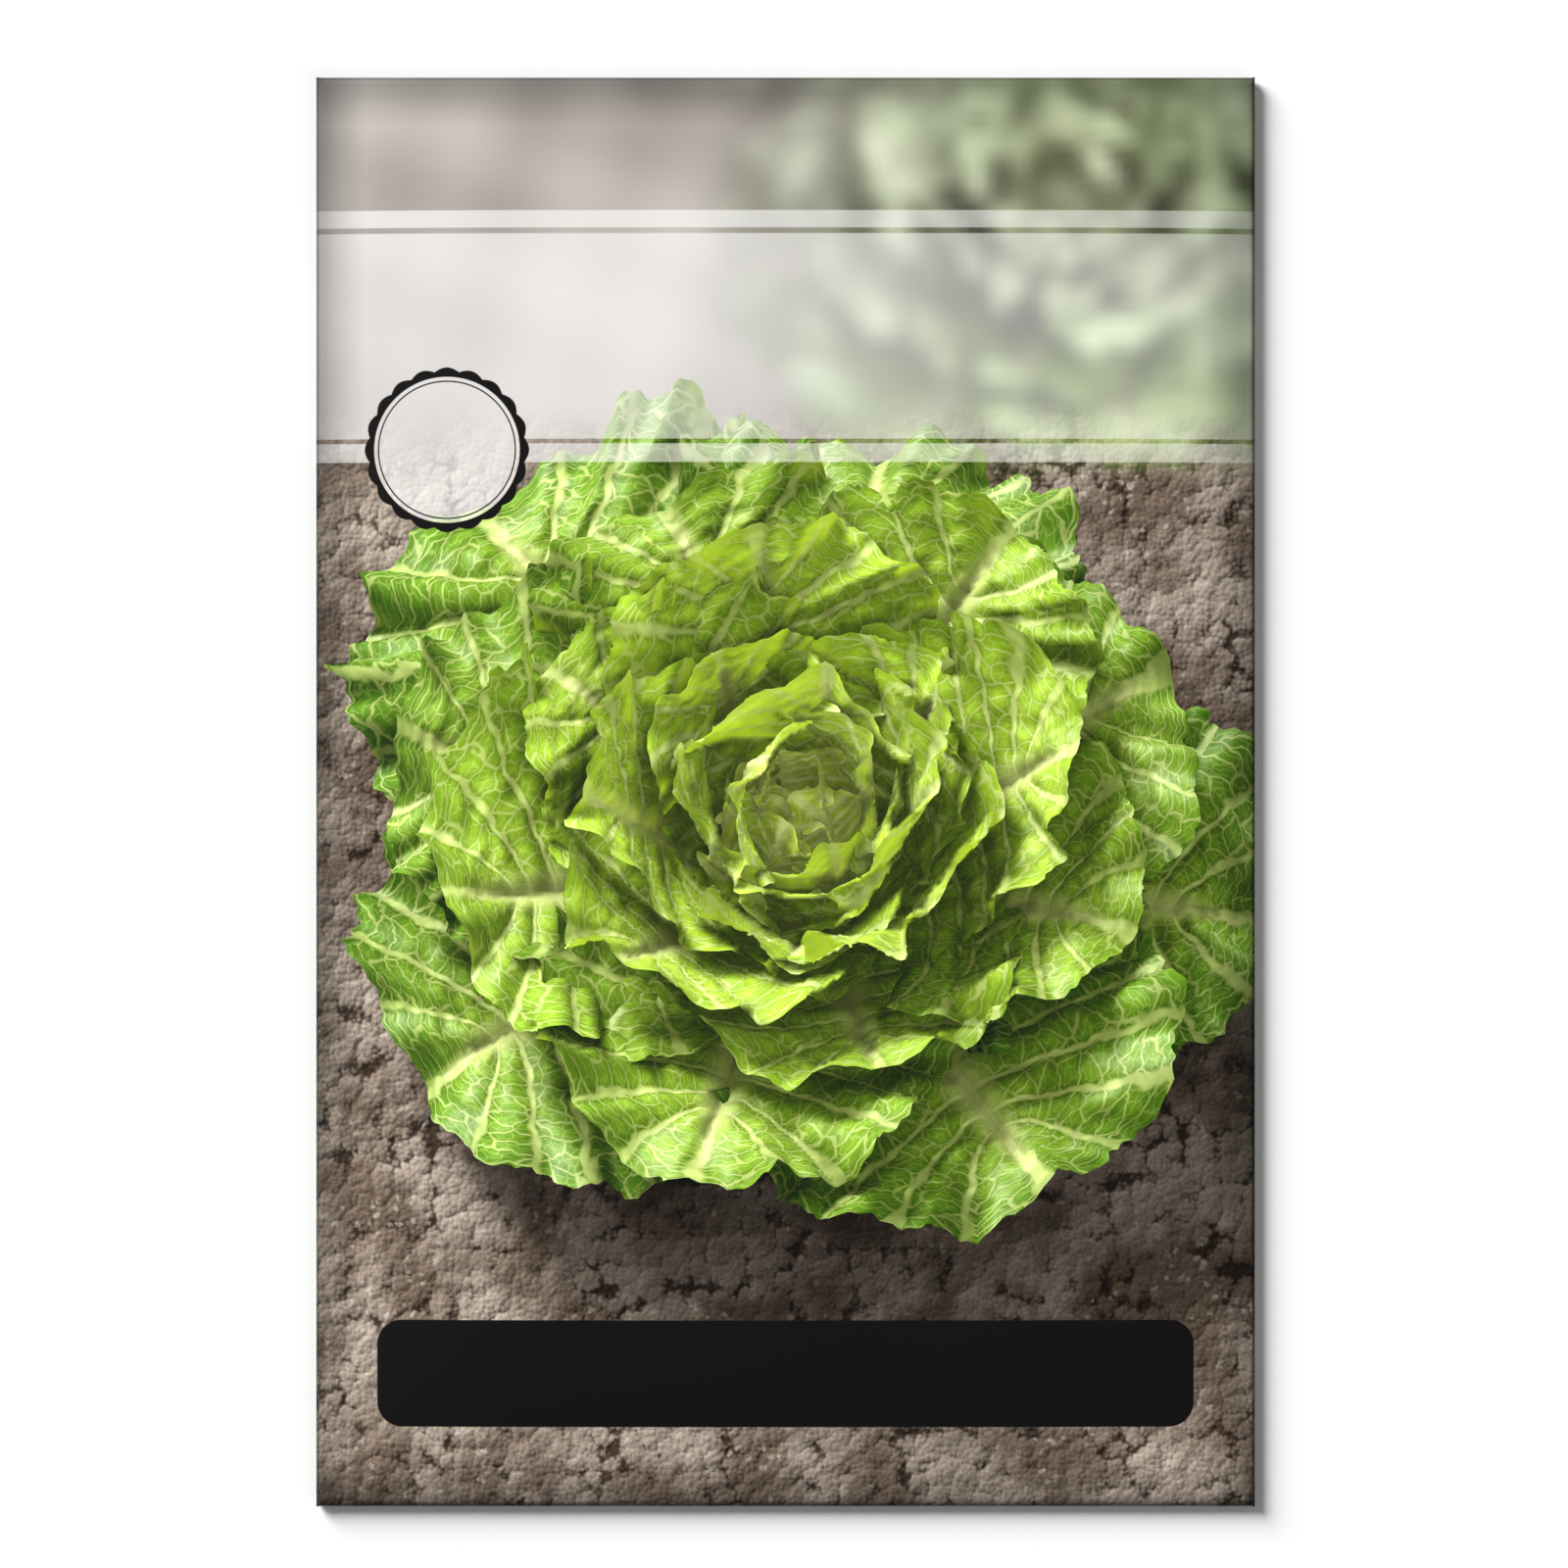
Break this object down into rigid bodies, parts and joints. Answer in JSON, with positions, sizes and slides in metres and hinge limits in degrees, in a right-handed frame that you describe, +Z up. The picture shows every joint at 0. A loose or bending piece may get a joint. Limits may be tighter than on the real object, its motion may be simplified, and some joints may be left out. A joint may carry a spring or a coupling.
{
  "type": "seed packet",
  "caption": "Flat sealed paper seed packet with folded flaps behind, a glued side seam and a small heap of seeds inside.",
  "frame": {"origin": "under the middle of the packet, on the surface that its back lies on", "axes": "+Z up out of the printed front, +Y towards the top edge of the print, +X to the right for someone who looks down at the front"},
  "size_m": [0.0834, 0.127, 0.0036],
  "materials": {
    "printed_paper": "satin coated paper with a full colour print in front and bare white inside",
    "glue": "thin dried paste",
    "seed_coat": "dry matte seed coat"
  },
  "bodies": {
    "root": {"paper_envelope": "printed_paper", "side_seam_glue": "glue", "bottom_flap_glue": "glue", "top_flap_glue": "glue", "lettuce_seeds": "seed_coat"}
  },
  "joints": []
}
